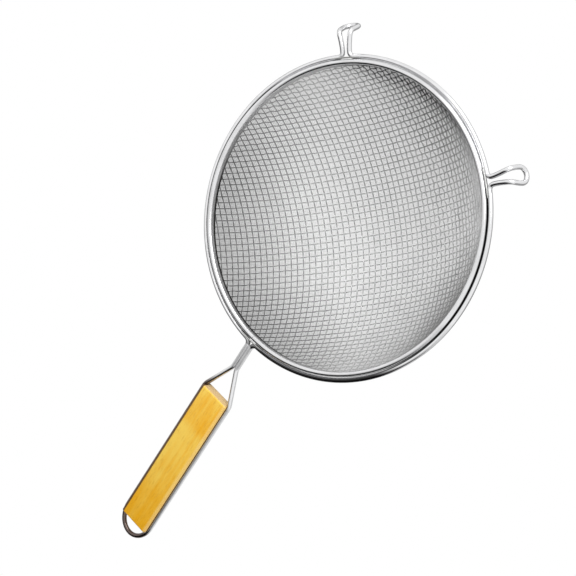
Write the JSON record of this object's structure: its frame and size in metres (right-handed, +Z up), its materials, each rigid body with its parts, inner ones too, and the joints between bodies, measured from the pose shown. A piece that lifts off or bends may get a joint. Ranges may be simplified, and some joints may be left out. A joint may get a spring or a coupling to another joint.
{
  "type": "double sieve strainer",
  "caption": "Bowl-shaped strainer of two nested wire-cloth sieves in a rolled rim, on one bent wire with two pan hooks, a grooved wooden grip and a hanging loop.",
  "frame": {"origin": "middle of the footprint of the whole strainer, on the surface that the bowl's lowest point touches", "axes": "+Z up, the way the bowl opens; +Y from the hanging loop to the pan hooks, along the handle; +X to the right seen from above with the handle towards the viewer"},
  "size_m": [0.2598, 0.4684, 0.0863],
  "materials": {
    "fine_cloth": "bright fine wire cloth",
    "coarse_cloth": "tinned coarse wire cloth",
    "band": "bright rolled sheet",
    "wire": "bright plated wire",
    "wood": "varnished golden wood",
    "weld": "plated weld metal"
  },
  "bodies": {
    "root": {"fine_sieve": "fine_cloth", "coarse_sieve": "coarse_cloth", "rim_band": "band", "frame_wire": "wire", "wood_grip": "wood", "neck_weld": "weld", "left_hook_weld": "weld", "right_hook_weld": "weld"}
  },
  "joints": []
}
